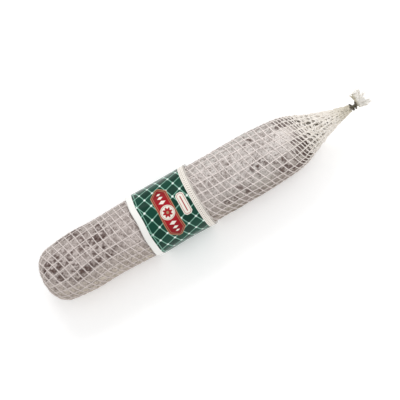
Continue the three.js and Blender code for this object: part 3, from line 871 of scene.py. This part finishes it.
def clip_metal():
    """Aluminium wire, drawn and then dulled and soiled by handling: dark, with soft glints."""
    material, tree = new_material("aluminium_wire_drawn_and_dulled")
    where = add(tree, "ShaderNodeTexCoord").outputs["Object"]
    soil = ramp(tree, grains(tree, where, 0.9, 3), 0.4, 0.65)
    colour = between(tree, soil, paint("#777064"), paint("#38332a"))
    bump = add(tree, "ShaderNodeBump", sockets={
        "Strength": 0.3, "Distance": 0.05 * MM, "Height": grains(tree, where, 0.3, 2),
    })
    shader = add(tree, "ShaderNodeBsdfPrincipled", sockets={
        "Base Color": colour, "Metallic": 1.0, "Roughness": 0.42, "Normal": bump,
    })
    add(tree, "ShaderNodeOutputMaterial", shader)
    return material


wire = clip_metal()
for i, (x, tilt) in enumerate(zip(CLIP_PLACES, CLIP_TILTS)):
    clip = show(f"clip_wire_{i + 1}", clip_mesh(f"clip_wire_{i + 1}"), wire)
    turned_up = Matrix.Rotation(math.radians(CLIP_TURN * (i + 1)), 4, "X")
    tilted = Matrix.Rotation(math.radians(tilt), 4, "Y")
    clip.data.transform(Matrix.Translation(Vector((x, 0, AXIS_HEIGHT)) * MM) @ turned_up @ tilted)
    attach(clip, "root")
    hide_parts(f"clip_{i + 1}")

# The printed band: a sleeve of thin glossy film, wrapped round the net over the middle of the
# sausage and welded along an overlap underneath. It hangs slightly free of the strings, and
# its edges are wavy. The print is a check with a panel, a medallion and a plaque.
BAND_RADIUS = 32.1
BAND_FACING = math.radians(20)  # the print's middle, from the top towards the front
BAND_OVERLAP = 10
BAND_WAVE = 0.6
FILM_THICKNESS = 0.12
FILM_ROWS = 56
FILM_COLUMNS = 220


def band_mesh():
    """The sleeve as one sheet, creased and a little slack, whose ends lap underneath."""
    half = math.pi + BAND_OVERLAP / 2 / BAND_RADIUS
    turn, share = np.meshgrid(
        np.linspace(-half, half, FILM_COLUMNS), np.linspace(0, 1, FILM_ROWS), indexing="ij"
    )
    angle = turn + BAND_FACING
    wave = BAND_WAVE * np.sin(3 * angle + 1) + BAND_WAVE / 2 * np.sin(7 * angle)
    x = BAND_LEFT + (BAND_RIGHT - BAND_LEFT) * share + wave * (1 - share)
    under = 0.25 * smooth(turn, half - 0.9, half - 0.4)
    creases = 0.16 * (1 + np.sin(9 * angle + 2.2 * np.sin(x / 19))) * np.sin(math.pi * share)
    slack = 0.2 * (1 + np.sin(2 * angle + x / 13))
    radius = BAND_RADIUS - 0.05 - under - creases - slack * np.sin(math.pi * share) ** 0.5
    z = np.maximum(AXIS_HEIGHT + radius * np.cos(angle), 0.02)
    points = np.stack([x, -radius * np.sin(angle), z], -1).reshape(-1, 3)
    index = np.arange(FILM_COLUMNS * FILM_ROWS).reshape(FILM_COLUMNS, FILM_ROWS)
    corners = [index[:-1, :-1], index[1:, :-1], index[1:, 1:], index[:-1, 1:]]
    faces = np.stack(corners[::-1], -1).reshape(-1, 4).tolist()
    mesh = make_mesh("printed_band", points, faces)
    print_mm = np.stack([turn * BAND_RADIUS, share * (BAND_RIGHT - BAND_LEFT), 0 * turn], -1)
    store(mesh, "print_mm", print_mm.reshape(-1, 3))
    return mesh


def within(tree, distance, edge=0.14):
    """1 where a distance in mm is below zero, with the soft edge of a print."""
    return ramp(tree, distance, edge, -edge)


def rule(tree, distance, middle, half_width):
    """A printed line that keeps its distance from an outline."""
    off = away(tree, distance, middle)
    return within(tree, maths(tree, "SUBTRACT", off, half_width))


def cut_panel(tree, around, along, middle, half_around, half_along, cut):
    """Distance outside a panel with cut corners, whose middle is on the print's own middle."""
    off_around, off_along = away(tree, around, 0), away(tree, along, middle)
    side = maths(tree, "SUBTRACT", off_around, half_around)
    end = maths(tree, "SUBTRACT", off_along, half_along)
    corner = maths(tree, "ADD", side, end)
    corner = maths(tree, "ADD", corner, cut)
    corner = maths(tree, "MULTIPLY", corner, math.sqrt(0.5))
    widest = maths(tree, "MAXIMUM", side, end)
    return maths(tree, "MAXIMUM", widest, corner)


def lozenge(tree, off_around, off_along, half_around, half_along):
    first = maths(tree, "MULTIPLY", off_around, half_along / half_around)
    total = maths(tree, "ADD", first, off_along)
    return maths(tree, "SUBTRACT", total, half_along)


INK_GREEN = paint("#0a4334")
INK_GREEN_DEEP = paint("#07382b")
INK_LINE = paint("#86b7a4")
INK_WHITE = paint("#e8f5ef")
INK_CREAM = paint("#f0ebe0")
INK_PAPER = paint("#f4f3ef")
INK_GREY = paint("#f3ede5")
INK_RED = paint("#a81622")
INK_RED_DEEP = paint("#6a0f13")
INK_GOLD = paint("#ad8868")
INK_BROWN = paint("#a59a8a")
CHECK_PITCH = 9.9
CHECK_TURN = math.radians(-20)
CHECK_CROSSING = (-22.9, 17, 0)
LINE_LEFT = 8.3
BORDER_LEFT = 6.3
BORDER_RIGHT = 56.6
PRINT_END = 62
PANEL_MIDDLE = 31
MEDALLION = 7.2
PLAQUE_MIDDLE = 48.6


def check_squares(tree, check):
    """The check's coordinates counted in its squares."""
    cells = [maths(tree, "DIVIDE", check.outputs[axis], CHECK_PITCH) for axis in ("X", "Y")]
    return add(tree, "ShaderNodeCombineXYZ", *cells, 0.5)


def printed_film():
    """Polypropylene film, printed and glossy: saturated inks under a smooth clear face, with
    broad soft reflections."""
    material, tree = new_material("polypropylene_film_printed")
    layout = add(tree, "ShaderNodeAttribute", attribute_name="print_mm").outputs["Vector"]
    axes = add(tree, "ShaderNodeSeparateXYZ", layout)
    around, along = axes.outputs["X"], axes.outputs["Y"]

    check = add(tree, "ShaderNodeVectorMath", layout, CHECK_CROSSING, operation="SUBTRACT")
    check = add(tree, "ShaderNodeVectorRotate", check, (0, 0, 0), (0, 0, 1), CHECK_TURN)
    check = add(tree, "ShaderNodeSeparateXYZ", check)
    first = maths(tree, "PINGPONG", check.outputs["X"], CHECK_PITCH / 2)
    second = maths(tree, "PINGPONG", check.outputs["Y"], CHECK_PITCH / 2)
    near = maths(tree, "MINIMUM", first, second)
    far = maths(tree, "MAXIMUM", first, second)
    cells = check_squares(tree, check)
    square = add(tree, "ShaderNodeTexChecker", cells, (1, 1, 1, 1), (0, 0, 0, 1), 1.0)
    colour = between(tree, square.outputs["Fac"], INK_GREEN, INK_GREEN_DEEP)
    line = within(tree, maths(tree, "SUBTRACT", near, 0.42))
    colour = between(tree, line, colour, INK_LINE)
    dot = within(tree, maths(tree, "SUBTRACT", far, 0.95))
    colour = between(tree, dot, colour, INK_WHITE)

    panel = cut_panel(tree, around, along, PANEL_MIDDLE, 27.5, 8.6, 7)
    colour = between(tree, within(tree, panel), colour, INK_GOLD)
    inside = maths(tree, "ADD", panel, 0.8)
    shade = ramp(tree, away(tree, around, 0), 8, 27, 0, 0.85)
    red = between(tree, shade, INK_RED, INK_RED_DEEP)
    colour = between(tree, within(tree, inside), colour, red)
    colour = between(tree, rule(tree, panel, -2.0, 0.22), colour, INK_GOLD)

    off_around, off_along = away(tree, around, 0), away(tree, along, PANEL_MIDDLE)
    for middle, size in ((11, 1), (16, 0.8), (20.2, 0.6)):
        spot = lozenge(tree, away(tree, off_around, middle), off_along, 1.9 * size, 3.8 * size)
        colour = between(tree, within(tree, spot), colour, INK_CREAM)
    squares = [maths(tree, "MULTIPLY", off, off) for off in (off_around, off_along)]
    radius = maths(tree, "SQRT", maths(tree, "ADD", *squares))
    turn = maths(tree, "ARCTAN2", off_around, off_along)
    petals = maths(tree, "MULTIPLY", turn, 8)
    petals = maths(tree, "COSINE", petals)
    petals = maths(tree, "MULTIPLY_ADD", petals, -0.9, radius)
    disc = maths(tree, "SUBTRACT", radius, MEDALLION)
    colour = between(tree, within(tree, disc), colour, INK_CREAM)
    colour = between(tree, rule(tree, disc, -0.9, 0.2), colour, INK_GOLD)
    flower = maths(tree, "SUBTRACT", petals, 4.2)
    colour = between(tree, within(tree, flower), colour, INK_RED)
    heart = maths(tree, "SUBTRACT", radius, 1.4)
    colour = between(tree, within(tree, heart), colour, INK_GOLD)

    plaque = cut_panel(tree, around, along, PLAQUE_MIDDLE, 11.5, 4.3, 2.2)
    colour = between(tree, within(tree, plaque), colour, INK_CREAM)
    colour = between(tree, rule(tree, plaque, -1.2, 0.2), colour, INK_RED)
    bar = cut_panel(tree, around, along, PLAQUE_MIDDLE, 8, 0.5, 0.3)
    colour = between(tree, within(tree, bar), colour, INK_RED)

    colour = between(tree, rule(tree, along, LINE_LEFT, 0.3), colour, INK_LINE)
    left = maths(tree, "SUBTRACT", along, BORDER_LEFT)
    colour = between(tree, within(tree, left), colour, INK_PAPER)
    right = maths(tree, "SUBTRACT", BORDER_RIGHT, along)
    colour = between(tree, within(tree, right), colour, INK_GREY)
    bead = maths(tree, "PINGPONG", around, 1.1)
    bead = lozenge(tree, bead, away(tree, along, (BORDER_RIGHT + PRINT_END) / 2), 0.62, 0.9)
    colour = between(tree, within(tree, bead), colour, INK_BROWN)
    for edge in (BORDER_RIGHT + 1.2, PRINT_END - 1.0):
        colour = between(tree, rule(tree, along, edge, 0.16), colour, INK_BROWN)

    inked = ramp(tree, along, PRINT_END + 0.1, PRINT_END - 0.1, 0.28, 1)
    shader = add(tree, "ShaderNodeBsdfPrincipled", sockets={
        "Base Color": colour, "Roughness": 0.2, "IOR": 1.49, "Specular IOR Level": 0.18,
        "Alpha": inked,
    })
    add(tree, "ShaderNodeOutputMaterial", shader)
    return material


band = show("printed_band", band_mesh(), printed_film())
wall = band.modifiers.new("film", "SOLIDIFY")
wall.thickness = FILM_THICKNESS * MM
wall.offset = -1
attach(band, "root")
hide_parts("label_band")

# The table, the soft light over it and the camera, which looks down on the sausage. They only
# stage the part and don't belong to it.
VIEW_TILT = math.radians(70)  # above the table
VIEW_SWING = math.radians(6.5)  # towards the tied end
VIEW_ROLL = math.radians(29.7)
PIXEL = 0.95  # mm on the sausage
IMAGE_PIXELS = 400
IMAGE_MIDDLE = (-8.55, -4.85)  # mm along the axis, and above it, in the picture
VIEW_DISTANCE = 1900
TABLE_HALF = 3000


def set_camera():
    tilt, swing = VIEW_TILT, VIEW_SWING
    back = Vector((math.sin(swing), -math.cos(swing) * math.cos(tilt), math.cos(swing) * math.sin(tilt)))
    along = (Vector((1, 0, 0)) - back * back.x).normalized()
    above = back.cross(along)
    right = along * math.cos(VIEW_ROLL) - above * math.sin(VIEW_ROLL)
    up = along * math.sin(VIEW_ROLL) + above * math.cos(VIEW_ROLL)
    target = Vector((IMAGE_MIDDLE[0], 0, AXIS_HEIGHT)) + above * IMAGE_MIDDLE[1]
    data = bpy.data.cameras.new("camera")
    data.sensor_width = 36
    data.lens = 36 * VIEW_DISTANCE / (PIXEL * IMAGE_PIXELS)
    camera = bpy.data.objects.new("camera", data)
    turn = Matrix((right, up, back)).transposed()
    camera.matrix_world = Matrix.Translation((target + back * VIEW_DISTANCE) * MM) @ turn.to_4x4()
    bpy.context.scene.collection.objects.link(camera)
    bpy.context.scene.camera = camera


def add_light(name, place_mm, aim_mm, size_mm, power):
    data = bpy.data.lights.new(name, "AREA")
    data.shape = "RECTANGLE"
    data.size, data.size_y = (side * MM for side in size_mm)
    data.energy = power
    light = bpy.data.objects.new(name, data)
    start, aim = Vector(place_mm) * MM, Vector(aim_mm) * MM
    light.location = start
    light.rotation_euler = (aim - start).to_track_quat("-Z", "Y").to_euler()
    bpy.context.scene.collection.objects.link(light)


def white_table():
    """Matt acrylic of a light table, plain white and faintly lit from below."""
    material, tree = new_material("acrylic_matt_white")
    shader = add(tree, "ShaderNodeBsdfPrincipled", sockets={
        "Base Color": paint("#f4f4f4"), "Roughness": 0.9, "Specular IOR Level": 0.1,
        "Emission Color": (1, 1, 1, 1), "Emission Strength": 0.25,
    })
    add(tree, "ShaderNodeOutputMaterial", shader)
    return material


far = TABLE_HALF
table_corners = [(-far, -far, 0), (far, -far, 0), (far, far, 0), (-far, far, 0)]
table = make_mesh("table", table_corners, [(0, 1, 2, 3)])
show("table", table, white_table())
set_camera()
add_light("softbox", (180, 900, 950), (-20, 0, 30), (650, 400), 4.8)
add_light("key", (360, -220, 560), (90, 0, 20), (600, 500), 0.85)

world = bpy.data.worlds.new("studio")
bpy.context.scene.world = world
world.use_nodes = True
world.node_tree.nodes["Background"].inputs["Color"].default_value = (1, 1, 1, 1)
world.node_tree.nodes["Background"].inputs["Strength"].default_value = 0.74
bpy.context.scene.view_settings.view_transform = "Standard"
